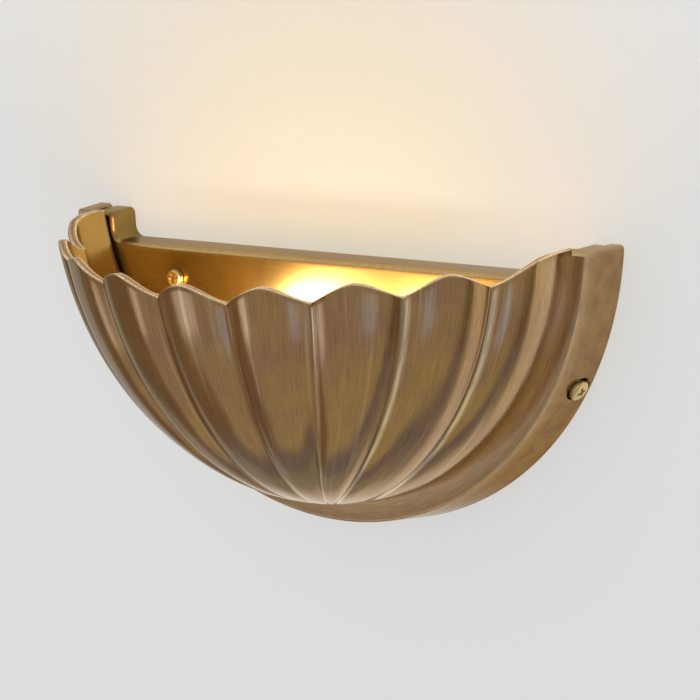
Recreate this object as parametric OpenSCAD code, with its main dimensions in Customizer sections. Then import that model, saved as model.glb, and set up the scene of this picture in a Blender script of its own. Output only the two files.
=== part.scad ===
// Shell wall sconce: a cast, fluted half bowl on a drafted band, closed at the wall by a D shaped pan.
// Millimetres. The wall is the plane y = 0, the room lies towards -Y and +Z is up.
// The origin is on the wall, at the middle of the fixing strap.

/* [Band] */
// Radius of the band's edge at the wall
band_r = 150; // [145:1:158]
// Height of the band's centre above the flat top edge
centre_rise = 17.75; // [14:0.25:22]
// Height of the flat top edge above the middle of the strap
top_rise = 28.5; // [27:0.5:31]
// Depth of the band, from the wall to the flange's face
band_depth = 21.6; // [21.2:0.2:26]
// Radius that the band loses on its way out from the wall
band_draft = 3; // [2:0.25:4]
// Thickness of the band
band_wall = 4.5; // [3.5:0.25:5]
// Thickness of the flange
flange_wall = 4.5; // [3.5:0.25:5]
// Width of the flange's face outside the bowl
flange_face = 9.3; // [8:0.1:11]
// Bevel round the flange's front edge
flange_edge = 0.9; // [0.4:0.1:1.5]
// Bevel along the top of the flange's face
ear_bevel = 2; // [0.5:0.25:3]
// Rounding of the ears' top corners at the wall
ear_round = 3; // [1:0.5:4]

/* [Bowl] */
// Half width of the bowl across its outermost grooves
bowl_half_width = 128.5; // [124:0.5:132]
// Reach of the front grooves from the flange's face
bowl_reach = 86.2; // [75:0.5:95]
// Thickness of the bowl
bowl_wall = 4; // [3:0.25:4.5]
// Height of a flute's arch above its two grooves
flute_bulge = 7; // [4:0.25:8]
// Squareness of a flute's arch, 2 being a parabola
flute_square = 3; // [2:0.25:4]
// Half the turn of the front flute, in degrees
front_turn = 9; // [8:0.25:10]
// Turn of the first flute beside it, in degrees
side_turn = 18.2; // [17:0.1:19]
// Growth of the turn from flute to flute, in degrees
turn_growth = 0.7; // [0:0.1:1]
// Drop of the rim below the top edge at the outermost grooves
rim_drop_side = 10.6; // [8:0.2:13]
// Drop of the rim below the top edge at the front grooves
rim_drop_front = 15.6; // [12:0.2:18]
// Rise of the rim over a flute
rim_rise = 9; // [5:0.5:11]
// Rise of the rim over an end flute
end_rise = 4.2; // [2:0.2:5]

/* [Pan] */
// Depth of the pan
pan_depth = 15.4; // [14.4:0.2:16]
// Thickness of the pan
pan_wall = 3; // [2.5:0.25:3.5]
// Gap between the pan and the front of the band
pan_gap = 0.6; // [0.4:0.1:1]
// Height of the pan's bar below the top edge
bar_drop = 14.6; // [13:0.2:17]
// Width between the pan's two uprights
upright_gap = 260.4; // [255:0.2:264]
// Radius between the bar and an upright
upright_fillet = 5; // [3:0.5:7]

/* [Fixing] */
// Length of the wall strap
strap_length = 214; // [205:1:225]
// Width of the wall strap
strap_width = 20; // [16:0.5:22]
// Thickness of the wall strap
strap_wall = 2; // [1.5:0.25:2.5]
// Distance between the strap's two wall holes
wall_hole_spacing = 89; // [70:1:110]
// Diameter of a wall hole
wall_hole_d = 5; // [4:0.25:6]
// Diameter of the strap's hole for the supply cable
cable_hole_d = 14; // [12:0.5:15]
// Distance between the two pan screws
pan_screw_spacing = 184.6; // [176:0.2:188]
// Thread diameter of a pan screw
pan_screw_d = 4; // [3.5:0.25:4.5]
// Head diameter of a pan screw
pan_head_d = 8; // [7.5:0.25:9]
// Head height of a pan screw
pan_head_h = 3.1; // [2.6:0.1:3.5]
// Thread diameter of a side screw
side_screw_d = 5; // [4:0.25:5]
// Length of a side screw under its head
side_screw_length = 14; // [12:0.5:16]
// Head diameter of a side screw
side_head_d = 9.5; // [8.5:0.25:10]
// Head height of a side screw
side_head_h = 2.9; // [2.4:0.1:3.4]
// Height of a side screw's head above the band
side_head_proud = 2.5; // [1:0.25:4]
// Diameter of the band's hole around a side screw
side_hole_d = 11.4; // [10.6:0.1:12]
// Distance of the side screws from the wall
side_screw_out = 7.2; // [7:0.1:7.6]
// Slope of the side screws below level, in degrees
side_screw_slope = 32.5; // [26:0.5:40]

/* [Lamp] */
// Distance of the lamp from the wall
lamp_out = 45; // [40:0.5:50]
// Height of the lamp bracket's shelf above the bowl's foot
shelf_rise = 20.65; // [18:0.05:24]
// Diameter of the lamp's glass
glass_d = 15; // [12:0.5:16]
// Length of the lamp's glass
glass_length = 37; // [32:0.5:38]
// Distance between the lamp's two pins
pin_spacing = 9; // [8:0.5:10]
// Thickness of a lamp pin
pin_d = 1.2; // [1:0.1:1.4]
// Length of a lamp pin below the cap
pin_length = 8; // [6:0.5:9]
// Height of the ceramic lampholder
holder_height = 20; // [18:0.5:21]
// Thickness of the lamp bracket
bracket_wall = 1.5; // [1.2:0.1:2]
// Width of the lamp bracket
bracket_width = 38; // [36:1:44]
// Thickness of an insulated lead
lead_d = 2.4; // [2:0.1:2.8]

/* [Hidden] */

brass = "#8a6b46";
pale_brass = "#b8a060";
steel = "#a9acae";
steatite = "#ece6d8";
round_fn = 96;
small_fn = 48;
eps = 0.01;
over = 1;                        // how far a cut runs past a face
far = 400;                       // longer than the whole part
run_gap = 0.05;                  // play of a screw or pin in its own hole
slip_gap = 0.25;                 // play of a screw in a plain hole
seat_gap = 0.3;                  // gap under a piece that lifts off its seat

disc_z = top_rise + centre_rise; // height of the band's centre
bar_z = top_rise - bar_drop;
pan_back = pan_depth - pan_wall; // the pan's inner face, as a distance from the wall

function band_r_at(out) = band_r - band_draft * out / band_depth;

boss_d = 9;
strap_boss_h = 3;
strap_corner = 4;
pan_seat_out = strap_wall + strap_boss_h; // where the pan's pillars meet the strap's bosses
pan_r = band_r_at(pan_depth) - band_wall - pan_gap;
side_boss_depth = 8;             // reach of a side screw's boss in from the pan's edge
side_boss_d = side_screw_d + 7;
side_head_r = band_r_at(side_screw_out) + side_head_proud - side_head_h;
pan_screw_tip = 0.8;             // the pan screws' tips, as a distance from the wall
pan_cross_turn = 20;             // turn of the pan screws' cross recess

cap_h = 9;
cap_w = 15.6;
cap_d = 10;
core_d = 5;
glass_wall = 1;
bowl_r = band_r - band_draft - flange_face;
bracket_z = disc_z - bowl_r + shelf_rise; // top of the bracket's shelf
holder_top = bracket_z + holder_height;
cap_z = holder_top + seat_gap;
cap_top = cap_z + cap_h;
holder_w = 21;
holder_d = 15;
holder_ear_h = 4;
holder_ear_w = bracket_width - 4;
holder_screw_d = 3;
holder_head_d = 5;
holder_head_h = 2;
holder_screw_spacing = (holder_ear_w + holder_w) / 2;
contact_d = pin_d + 1.2;
contact_h = pin_length + 4;
lead_pocket_h = holder_height - contact_h;
lead_pocket_w = pin_spacing + lead_d + 1.6;
lead_pocket_d = lead_d + 3;

shelf_front = lamp_out + holder_d / 2 + 2;
shelf_hole_d = 9;
bend_r = 3;
bracket_screw_d = 4;
bracket_head_d = 7.4;
bracket_head_h = 2.6;
bracket_screw_spacing = 22;
nut_h = 3.2;
nut_w = 7;
small_nut_h = 2.4;
small_nut_w = 5.5;
nut_tail = 1;                    // thread showing past a nut

grommet_d = 11;
grommet_neck_d = 9;
grommet_bore = 7;
grommet_lip = 1.2;
lead_hole_z = bracket_z - bracket_wall - grommet_d / 2 - 1;

terminal_pitch = 10;
terminal_w = 3 * terminal_pitch;
terminal_tall = 15;
terminal_depth = 7.5;
terminal_z = -strap_width / 2 - 16;
terminal_foot = terminal_z - terminal_tall / 2;
bracket_screw_z = terminal_foot - 15.3;       // clear of the terminals and their wires
bracket_back_h = bracket_screw_z + 8 - bracket_z;
terminal_out = pan_back - terminal_depth; // the block's face towards the wall
terminal_fixing_d = 3;
terminal_head_d = 5;
terminal_head_h = 2;
clamp_d = 2.8;                   // diameter of the screws that clamp the wires
clamp_sink = 0.4;                // how far they sit below the block's face
wire_bite = 4;                   // reach of a lead into the block
joint_gap = 0.15;                // gap between a lead's end and the contact or tag that it is joined to
terminal_fixing_bite = 2;        // depth of the fixing screws in the pan
tube_d = lead_d + 1.8;
tube_out = terminal_out + terminal_depth / 2;

earth_x = 42;
earth_z = terminal_z;
earth_seat_out = 8;
earth_screw_d = 4;
earth_screw_length = 5.5;
earth_head_d = 7;
earth_head_h = 2.4;
earth_tag_d = 7.5;
earth_tag_w = 3.5;
earth_tag_h = 0.8;
earth_tag_reach = 14;

// ---- Bowl surface ---------------------------------------------------------------------------

flutes = 9;
side_flutes = (flutes - 1) / 2;
columns_per_flute = 8;
columns = flutes * columns_per_flute;
rows = 15;
rim_square = 1.65;               // squareness of the rim's rise over a flute
root_sink = 0.8;                 // how far the bowl's end grooves sink into the flange's face
root_overlap = flange_wall / 2;  // how far the bowl's ends reach into the flange
flange_step = 0.6;               // step from the bowl's inside out to the flange's bore
rim_over = 0.6;                  // rise of the rim's ends above the top edge, which is then worked flat

// Place of a groove in plan, counted from the front groove outwards, before the bowl narrows.
function side_groove(n) =
    let (turn = front_turn + n * side_turn + n * n * turn_growth)
    [bowl_half_width * sin(turn), bowl_reach * cos(turn)];

// The ten borders of the nine flutes from left to right, the first and last lying on the flange.
function border(k) =
    k == 0 ? [-bowl_r, 0] :
    k == flutes ? [bowl_r, 0] :
    k <= side_flutes ? let (g = side_groove(side_flutes - k)) [-g.x, g.y] :
    side_groove(k - side_flutes - 1);

function flute_of(u) = min(floor(u), flutes - 1);
function arch(u) = 1 - pow(abs(2 * (u - flute_of(u)) - 1), flute_square);

function plan(u) =
    let (k = flute_of(u), a = border(k), chord = border(k + 1) - a, out = [-chord.y, chord.x] / norm(chord))
    a + chord * (u - k) + out * flute_bulge * arch(u);

function plan_out(u) =
    u == 0 ? [-1, 0] :
    u == flutes ? [1, 0] :
    let (step = 0.04, run = plan(min(u + step, flutes)) - plan(max(u - step, 0)))
    [-run.y, run.x] / norm(run);

function border_z(k) =
    let (b = border(k), frontness = b.y * b.y / (b * b))
    k == 0 || k == flutes ? top_rise + rim_over :
    top_rise - rim_drop_side - (rim_drop_front - rim_drop_side) * frontness;

function rim_z(u) =
    let (k = flute_of(u), t = u - k, rise = k == 0 || k == flutes - 1 ? end_rise : rim_rise)
    border_z(k) * (1 - t) + border_z(k + 1) * t + rise * (1 - pow(abs(2 * t - 1), rim_square));

// A point of the bowl: u counts flutes from the left, dip goes from 0 at the rim to 1 at the foot,
// and inset goes from 0 at the outside to bowl_wall at the inside.
function bowl_point(u, dip, inset) =
    let (
        rim_turn = asin((disc_z - rim_z(u)) / (bowl_r - inset)),
        turn = rim_turn + (90 - rim_turn) * dip,
        p = plan(u) - inset * plan_out(u),
        sag = flute_bulge * arch(u) * cos(turn) * sin(turn)
    )
    [p.x * cos(turn), -band_depth - p.y * cos(turn), disc_z - (bowl_r - inset) * sin(turn) - sag];

// One face of the bowl as columns of points, with a column inside the flange at each end.
function bowl_columns(inset) = [
    for (i = [-1 : columns + 1], j = [0 : rows - 1])
        let (u = min(max(i, 0), columns) / columns_per_flute, p = bowl_point(u, j / rows, inset))
        p + [0, i < 0 || i > columns ? root_overlap : i == 0 || i == columns ? root_sink : 0, 0]
];
function bowl_feet(inset) = [
    for (back = [root_sink, root_overlap])
        [0, -band_depth + back, disc_z - bowl_r + inset]
];

function split(a, b, c, d) = concat(
    a == b || b == c || a == c ? [] : [[a, b, c]],
    a == c || c == d || a == d ? [] : [[a, c, d]]
);

module bowl() {
    wide = columns + 3;
    face_size = wide * rows + 2;
    points = concat(
        bowl_columns(0), bowl_feet(0),
        bowl_columns(bowl_wall), bowl_feet(bowl_wall)
    );
    function at(side, i, j) =
        side * face_size + (j < rows ? i * rows + j : wide * rows + (i == 0 || i == wide - 1 ? 1 : 0));
    outside = [for (i = [0 : wide - 2], j = [0 : rows - 1])
        each split(at(0, i, j), at(0, i + 1, j), at(0, i + 1, j + 1), at(0, i, j + 1))];
    inside = [for (i = [0 : wide - 2], j = [0 : rows - 1])
        each split(at(1, i, j), at(1, i, j + 1), at(1, i + 1, j + 1), at(1, i + 1, j))];
    rim = [for (i = [0 : wide - 2])
        each split(at(0, i, 0), at(1, i, 0), at(1, i + 1, 0), at(0, i + 1, 0))];
    ends = [for (j = [0 : rows - 1])
        each concat(
            split(at(0, 0, j), at(0, 0, j + 1), at(1, 0, j + 1), at(1, 0, j)),
            split(at(0, wide - 1, j), at(1, wide - 1, j), at(1, wide - 1, j + 1), at(0, wide - 1, j + 1)))];
    polyhedron(points, concat(outside, inside, rim, ends), convexity = 10);
}

// ---- Shared pieces --------------------------------------------------------------------------

// Places children at the band's centre, with their +Z pointing out from the wall.
module from_wall() {
    translate([0, 0, disc_z])
        rotate([90, 0, 0])
            children();
}

// Places children on a side screw's axis, with their +Z pointing out of the band. side is -1 or 1.
module on_side_screw(side, r) {
    translate([0, -side_screw_out, disc_z])
        rotate([0, side * (90 + side_screw_slope), 0])
            translate([0, 0, r])
                children();
}

// Places children on a point of the wall's face, with their +Z pointing out from the wall.
module facing_room(x, out, z) {
    translate([x, -out, z])
        rotate([90, 0, 0])
            children();
}

module rod(d, h, fn = small_fn) {
    cylinder(d = d, h = h, $fn = fn);
}

// A pan head screw with its head's seat at z = 0 and its thread below.
module pan_head_screw(d, length, head_d, head_h) {
    slot_w = 0.14 * head_d;
    slot_l = 0.56 * head_d;
    slot_depth = 0.55 * head_h;
    crown = 0.35 * head_h;
    difference() {
        union() {
            rotate_extrude($fn = small_fn)
                polygon([[0, 0], [head_d / 2, 0], [head_d / 2, head_h - crown],
                         [head_d / 2 - crown, head_h], [0, head_h]]);
            translate([0, 0, -length])
                rod(d, length + eps);
        }
        for (turn = [0, 90])
            rotate(turn)
                translate([-slot_l / 2, -slot_w / 2, head_h - slot_depth])
                    cube([slot_l, slot_w, slot_depth + over]);
    }
}

module hex_nut(d, across, h) {
    difference() {
        cylinder(d = across / cos(30), h = h, $fn = 6);
        translate([0, 0, -over])
            rod(d, h + 2 * over);
    }
}

// A rounded block from z = 0 to h, centred on x and y.
module rounded_block(w, d, h, r) {
    linear_extrude(h)
        rounded_plate(w, d, r);
}

module rounded_plate(w, d, r) {
    square([w - 2 * r, d], center = true);
    square([w, d - 2 * r], center = true);
    for (x = [-1, 1], y = [-1, 1])
        translate([x * (w / 2 - r), y * (d / 2 - r)])
            circle(r, $fn = small_fn);
}

// ---- Shell ----------------------------------------------------------------------------------

module band_ring() {
    flange_back = band_depth - flange_wall;
    front_r = band_r - band_draft;
    flange_inner_r = bowl_r - bowl_wall + flange_step;
    from_wall()
        rotate_extrude($fn = 2 * round_fn)
            polygon([
                [band_r - band_wall, 0],
                [band_r, 0],
                [band_r_at(band_depth - flange_edge), band_depth - flange_edge],
                [front_r - flange_edge, band_depth],
                [flange_inner_r, band_depth],
                [flange_inner_r, flange_back],
                [band_r_at(flange_back) - band_wall, flange_back]
            ]);
}

// What the flat top edge takes off the band: all above it, and the ears' two worked corners.
module band_top_cut() {
    translate([-far / 2, -far / 2, top_rise])
        cube([far, far, far]);
    translate([-far / 2, 0, top_rise])
        rotate([0, 90, 0])
            difference() {
                translate([-eps, -ear_round, 0])
                    cube([ear_round + eps, ear_round + eps, far]);
                translate([ear_round, -ear_round, -over])
                    rod(2 * ear_round, far + 2 * over);
            }
    for (side = [-1, 1])
        translate([side * (bowl_r + far / 2), -band_depth, top_rise])
            rotate([45, 0, 0])
                cube([far, ear_bevel * sqrt(2), ear_bevel * sqrt(2)], center = true);
}

module side_screw_hole(side) {
    on_side_screw(side, band_r - 2 * band_wall)
        rod(side_hole_d, 4 * band_wall);
}

module shell() {
    color(brass)
        difference() {
            union() {
                band_ring();
                bowl();
            }
            band_top_cut();
            side_screw_hole(-1);
            side_screw_hole(1);
        }
}

// ---- Pan ------------------------------------------------------------------------------------

// The pan's face, drawn inwards by inset, about the band's centre.
module pan_face(inset) {
    top_y = top_rise - disc_z - inset;
    bar_y = bar_z - disc_z - inset;
    inner_x = upright_gap / 2 + inset;
    fillet_r = max(upright_fillet - inset, 1);
    intersection() {
        circle(pan_r - inset, $fn = 2 * round_fn);
        union() {
            translate([-far / 2, bar_y - far])
                square([far, far]);
            for (side = [-1, 1])
                translate([side * (inner_x + far / 2), top_y - far / 2])
                    square([far, far], center = true);
            for (side = [-1, 1])
                translate([side * inner_x, bar_y])
                    upright_corner(-side, fillet_r);
        }
    }
}

// The hollow corner between the bar and an upright, filling towards side.
module upright_corner(side, r) {
    difference() {
        translate([side * r / 2 - side * eps, r / 2 - eps])
            square([r + 2 * eps, r + 2 * eps], center = true);
        translate([side * r, r])
            circle(r, $fn = small_fn);
    }
}

module pan_pillars() {
    for (side = [-1, 1])
        facing_room(side * pan_screw_spacing / 2, pan_seat_out, 0)
            rod(boss_d, pan_back - pan_seat_out + eps);
    facing_room(earth_x, earth_seat_out, earth_z)
        rod(boss_d, pan_back - earth_seat_out + eps);
    intersection() {
        for (side = [-1, 1])
            on_side_screw(side, pan_r - side_boss_depth)
                rod(side_boss_d, side_boss_depth - eps);
        from_wall()
            cylinder(r = pan_r - pan_wall / 2, h = pan_depth, $fn = 2 * round_fn);
    }
}

module pan_holes() {
    for (side = [-1, 1]) {
        facing_room(side * pan_screw_spacing / 2, -over, 0)
            rod(pan_screw_d + 2 * slip_gap, pan_depth + 2 * over);
        on_side_screw(side, pan_r - side_boss_depth - over)
            rod(side_screw_d + 2 * run_gap, side_boss_depth + 3 * over);
        facing_room(side * bracket_screw_spacing / 2, -over, bracket_screw_z)
            rod(bracket_screw_d + 2 * slip_gap, pan_depth + 2 * over);
        facing_room(side * terminal_pitch / 2, -over, terminal_z)
            rod(terminal_fixing_d, pan_back + terminal_fixing_bite + over);
    }
    facing_room(0, -over, lead_hole_z)
        rod(grommet_neck_d + 2 * run_gap, pan_depth + 2 * over);
    facing_room(earth_x, -over, earth_z)
        rod(earth_screw_d, earth_seat_out + earth_screw_length + over);
}

module back_pan() {
    color(brass)
        difference() {
            union() {
                difference() {
                    from_wall()
                        linear_extrude(pan_depth)
                            pan_face(0);
                    from_wall()
                        translate([0, 0, -over])
                            linear_extrude(pan_back + over)
                                pan_face(pan_wall);
                }
                pan_pillars();
            }
            pan_holes();
        }
}

// ---- Wall strap -----------------------------------------------------------------------------

module wall_strap() {
    color(steel)
        difference() {
            union() {
                facing_room(0, 0, 0)
                    rounded_block(strap_length, strap_width, strap_wall, strap_corner);
                for (side = [-1, 1])
                    facing_room(side * pan_screw_spacing / 2, strap_wall - eps, 0)
                        rod(boss_d, strap_boss_h + eps);
            }
            for (side = [-1, 1]) {
                facing_room(side * pan_screw_spacing / 2, -over, 0)
                    rod(pan_screw_d + 2 * run_gap, pan_seat_out + 2 * over);
                facing_room(side * wall_hole_spacing / 2, -over, 0)
                    rod(wall_hole_d, strap_wall + 2 * over);
            }
            facing_room(0, -over, 0)
                rod(cable_hole_d, strap_wall + 2 * over);
        }
}

// ---- Screws of the case ---------------------------------------------------------------------

module side_screw(side) {
    color(pale_brass)
        on_side_screw(side, side_head_r)
            pan_head_screw(side_screw_d, side_screw_length, side_head_d, side_head_h);
}

module side_screw_left() {
    side_screw(-1);
}

module side_screw_right() {
    side_screw(1);
}

module pan_screw(side) {
    color(pale_brass)
        facing_room(side * pan_screw_spacing / 2, pan_depth + seat_gap, 0)
            rotate(pan_cross_turn)
                pan_head_screw(pan_screw_d, pan_depth + seat_gap - pan_screw_tip, pan_head_d, pan_head_h);
}

module pan_screw_left() {
    pan_screw(-1);
}

module pan_screw_right() {
    pan_screw(1);
}

// ---- Lamp bracket ---------------------------------------------------------------------------

// The bracket's side view: x is the distance from the wall, y is the height above the shelf's top.
module bracket_profile() {
    back = pan_depth;
    difference() {
        union() {
            translate([back, bend_r])
                square([bracket_wall, bracket_back_h - bend_r]);
            translate([back + bracket_wall + bend_r, -bracket_wall])
                square([shelf_front - back - bracket_wall - bend_r, bracket_wall]);
            intersection() {
                translate([back, -bracket_wall])
                    square(bend_r + bracket_wall);
                translate([back + bracket_wall + bend_r, bend_r])
                    circle(bend_r + bracket_wall, $fn = small_fn);
            }
        }
        translate([back + bracket_wall + bend_r, bend_r])
            circle(bend_r, $fn = small_fn);
    }
}

module lamp_bracket() {
    color(pale_brass)
        difference() {
            translate([-bracket_width / 2, 0, bracket_z])
                rotate([90, 0, -90])
                    mirror([0, 0, 1])
                        linear_extrude(bracket_width)
                            bracket_profile();
            for (side = [-1, 1]) {
                facing_room(side * bracket_screw_spacing / 2, 0, bracket_screw_z)
                    rod(bracket_screw_d + 2 * slip_gap, lamp_out);
                translate([side * holder_screw_spacing / 2, -lamp_out, bracket_z - far / 2])
                    rod(holder_screw_d + 2 * slip_gap, far);
            }
            translate([0, -lamp_out, bracket_z - far / 2])
                rod(shelf_hole_d, far);
        }
}

module bracket_screws() {
    color(pale_brass)
        for (side = [-1, 1])
            facing_room(side * bracket_screw_spacing / 2, pan_depth + bracket_wall, bracket_screw_z)
                pan_head_screw(bracket_screw_d, bracket_wall + pan_wall + nut_h + nut_tail,
                               bracket_head_d, bracket_head_h);
}

module bracket_nuts() {
    color(steel)
        for (side = [-1, 1])
            facing_room(side * bracket_screw_spacing / 2, pan_back - nut_h, bracket_screw_z)
                hex_nut(bracket_screw_d, nut_w, nut_h);
}

// ---- Lampholder -----------------------------------------------------------------------------

module holder_body() {
    color(steatite)
        translate([0, -lamp_out, bracket_z])
            difference() {
                union() {
                    rounded_block(holder_w, holder_d, holder_height, 2);
                    rounded_block(holder_ear_w, holder_d - 4, holder_ear_h, 3);
                }
                for (side = [-1, 1]) {
                    translate([side * holder_screw_spacing / 2, 0, -over])
                        rod(holder_screw_d + 2 * slip_gap, holder_height + 2 * over);
                    translate([side * pin_spacing / 2, 0, -over])
                        rod(contact_d + 2 * run_gap, holder_height + 2 * over);
                }
                translate([0, 0, -over])
                    rounded_block(lead_pocket_w, lead_pocket_d, lead_pocket_h + over, 1.5);
            }
}

module holder_contacts() {
    color(steel)
        for (side = [-1, 1])
            translate([side * pin_spacing / 2, -lamp_out, holder_top - contact_h])
                difference() {
                    rod(contact_d, contact_h);
                    translate([0, 0, contact_h - pin_length - over])
                        rod(pin_d + 2 * run_gap, contact_h);
                }
}

module holder_screws() {
    color(pale_brass)
        for (side = [-1, 1])
            translate([side * holder_screw_spacing / 2, -lamp_out, bracket_z + holder_ear_h])
                pan_head_screw(holder_screw_d, holder_ear_h + bracket_wall + small_nut_h + nut_tail,
                               holder_head_d, holder_head_h);
}

module holder_nuts() {
    color(steel)
        for (side = [-1, 1])
            translate([side * holder_screw_spacing / 2, -lamp_out, bracket_z - bracket_wall - small_nut_h])
                hex_nut(holder_screw_d, small_nut_w, small_nut_h);
}

// ---- Lamp -----------------------------------------------------------------------------------

module capsule(r, h) {
    rotate_extrude($fn = small_fn) {
        square([r, h - r]);
        intersection() {
            translate([0, h - r])
                circle(r, $fn = small_fn);
            square([r, h]);
        }
    }
}

module lamp_glass() {
    color("#fff3d6")
        translate([0, -lamp_out, cap_top])
            difference() {
                capsule(glass_d / 2, glass_length);
                translate([0, 0, -eps])
                    capsule(glass_d / 2 - glass_wall, glass_length - glass_wall + eps);
            }
}

module lamp_core() {
    color("#ffe9a8")
        translate([0, -lamp_out, cap_top])
            rod(core_d, glass_length - glass_d / 2);
}

module lamp_cap() {
    color(steatite)
        translate([0, -lamp_out, cap_z])
            rounded_block(cap_w, cap_d, cap_h, 2);
}

module lamp_pins() {
    color(steel)
        for (side = [-1, 1])
            translate([side * pin_spacing / 2, -lamp_out, holder_top - pin_length])
                rod(pin_d, pin_length + seat_gap);
}

// ---- Leads, terminals and earth -------------------------------------------------------------

// A smooth curve through the points of a route, in steps per stretch.
function smooth(route, steps) = [
    for (i = [0 : len(route) - 2], s = [0 : steps - 1])
        let (
            t = s / steps,
            a = route[max(i - 1, 0)], b = route[i], c = route[i + 1], d = route[min(i + 2, len(route) - 1)],
            m = (c - a) / 2, n = (d - b) / 2
        )
        (2 * pow(t, 3) - 3 * t * t + 1) * b + (pow(t, 3) - 2 * t * t + t) * m
        + (3 * t * t - 2 * pow(t, 3)) * c + (pow(t, 3) - t * t) * n,
    route[len(route) - 1]
];

function unit(v) = v / norm(v);

// The frame that rides along a path: each ring keeps the last one's side direction.
function ride(path, i, side) =
    let (run = unit(path[min(i + 1, len(path) - 1)] - path[max(i - 1, 0)]))
    unit(side - run * (side * run));
function sides(path, i = 0, side = [1, 0.01, 0.02]) =
    i == len(path) ? [] :
    let (next = ride(path, i, side)) concat([next], sides(path, i + 1, next));

// A round lead along a path of points.
module lead(route) {
    path = smooth(route, 4);
    n = 8;
    last = len(path) - 1;
    across = sides(path);
    points = [for (i = [0 : last], k = [0 : n - 1])
        let (
            run = unit(path[min(i + 1, last)] - path[max(i - 1, 0)]),
            up = cross(run, across[i])
        )
        path[i] + lead_d / 2 * (across[i] * cos(360 * k / n) + up * sin(360 * k / n))];
    skin = [for (i = [0 : last - 1], k = [0 : n - 1])
        each let (a = i * n + k, b = i * n + (k + 1) % n) [[a, a + n, b], [b, a + n, b + n]]];
    polyhedron(points, concat(skin, [[for (k = [0 : n - 1]) k]], [[for (k = [n - 1 : -1 : 0]) last * n + k]]));
}

// From a holder contact down through the shelf, back through the grommet and up to a terminal.
module lamp_lead(side, terminal_x) {
    x = side * (lead_d / 2 + 0.4);
    contact_foot = holder_top - contact_h - joint_gap;
    lead([
        [side * pin_spacing / 2, -lamp_out, contact_foot],
        [side * pin_spacing / 2, -lamp_out, contact_foot - 1],
        [side * pin_spacing / 2, -lamp_out, contact_foot - 2],
        [x * 1.3, -lamp_out, bracket_z],
        [x, -lamp_out + 2, lead_hole_z + 2.5],
        [x, -lamp_out + 9, lead_hole_z],
        [x, -pan_depth - 4, lead_hole_z],
        [x, -pan_back + 1.5, lead_hole_z],
        [x, -tube_out, lead_hole_z + 5],
        [x, -tube_out, bracket_screw_z + 4],
        [terminal_x, -tube_out, terminal_foot - 3],
        [terminal_x, -tube_out, terminal_foot],
        [terminal_x, -tube_out, terminal_foot + wire_bite]
    ]);
}

module lead_live() {
    color("#7a3b1e")
        lamp_lead(1, 0);
}

module lead_neutral() {
    color("#3a5f8a")
        lamp_lead(-1, -terminal_pitch);
}

// From the tag's end down and across to the last terminal.
module earth_lead() {
    start_x = earth_x - earth_tag_reach - joint_gap;
    color("#6f9a2e")
        lead([
            [start_x, -earth_seat_out + earth_tag_h / 2, earth_z],
            [start_x - 1, -earth_seat_out + earth_tag_h / 2, earth_z],
            [start_x - 4, -earth_seat_out + earth_tag_h / 2, earth_z - 1],
            [start_x - 9, -tube_out, earth_z - 9],
            [terminal_pitch + 3, -tube_out, terminal_foot - 7],
            [terminal_pitch, -tube_out, terminal_foot - 3],
            [terminal_pitch, -tube_out, terminal_foot],
            [terminal_pitch, -tube_out, terminal_foot + wire_bite]
        ]);
}

module lead_grommet() {
    color("#2b2b2b")
        facing_room(0, pan_back - grommet_lip, lead_hole_z)
            difference() {
                union() {
                    rod(grommet_d, grommet_lip);
                    rod(grommet_neck_d, pan_wall + 2 * grommet_lip);
                    translate([0, 0, pan_wall + grommet_lip])
                        rod(grommet_d, grommet_lip);
                }
                translate([0, 0, -over])
                    rod(grommet_bore, pan_wall + 2 * grommet_lip + 2 * over);
            }
}

module terminal_block() {
    color(steatite)
        difference() {
            facing_room(0, terminal_out, terminal_z)
                rounded_block(terminal_w, terminal_tall, terminal_depth, 1.5);
            for (k = [-1 : 1]) {
                translate([k * terminal_pitch, -tube_out, terminal_foot - over])
                    rod(tube_d + 2 * run_gap, terminal_tall + 2 * over);
                for (z = [-1, 1])
                    facing_room(k * terminal_pitch, terminal_out - over, terminal_z + z * terminal_tall / 4)
                        rod(clamp_d + 4 * run_gap, tube_out - terminal_out + over);
            }
            for (side = [-1, 1])
                facing_room(side * terminal_pitch / 2, terminal_out - over, terminal_z)
                    rod(terminal_fixing_d + 2 * slip_gap, terminal_depth + 2 * over);
        }
}

module terminal_tubes() {
    color(pale_brass)
        for (k = [-1 : 1])
            translate([k * terminal_pitch, -tube_out, terminal_foot + 1])
                difference() {
                    rod(tube_d, terminal_tall - 2);
                    translate([0, 0, -over])
                        rod(lead_d + 2 * run_gap, terminal_tall);
                }
}

module terminal_screws() {
    color(pale_brass)
        for (k = [-1 : 1], z = [-1, 1])
            facing_room(k * terminal_pitch, terminal_out + clamp_sink, terminal_z + z * terminal_tall / 4)
                rod(clamp_d, tube_out - tube_d / 2 - terminal_out - clamp_sink);
}

module terminal_fixings() {
    color(steel)
        for (side = [-1, 1])
            translate([side * terminal_pitch / 2, -terminal_out, terminal_z])
                rotate([-90, 0, 0])
                    pan_head_screw(terminal_fixing_d - 2 * run_gap, terminal_depth + terminal_fixing_bite - 0.2,
                                   terminal_head_d, terminal_head_h);
}

module earth_tag() {
    color(pale_brass)
        facing_room(earth_x, earth_seat_out - earth_tag_h, earth_z)
            difference() {
                union() {
                    rod(earth_tag_d, earth_tag_h);
                    translate([-earth_tag_reach, -earth_tag_w / 2, 0])
                        cube([earth_tag_reach, earth_tag_w, earth_tag_h]);
                }
                translate([0, 0, -over])
                    rod(earth_screw_d + 2 * slip_gap, earth_tag_h + 2 * over);
            }
}

module earth_screw() {
    color(pale_brass)
        translate([earth_x, -earth_seat_out + earth_tag_h, earth_z])
            rotate([-90, 0, 0])
                pan_head_screw(earth_screw_d - 2 * run_gap, earth_screw_length, earth_head_d, earth_head_h);
}

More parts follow.
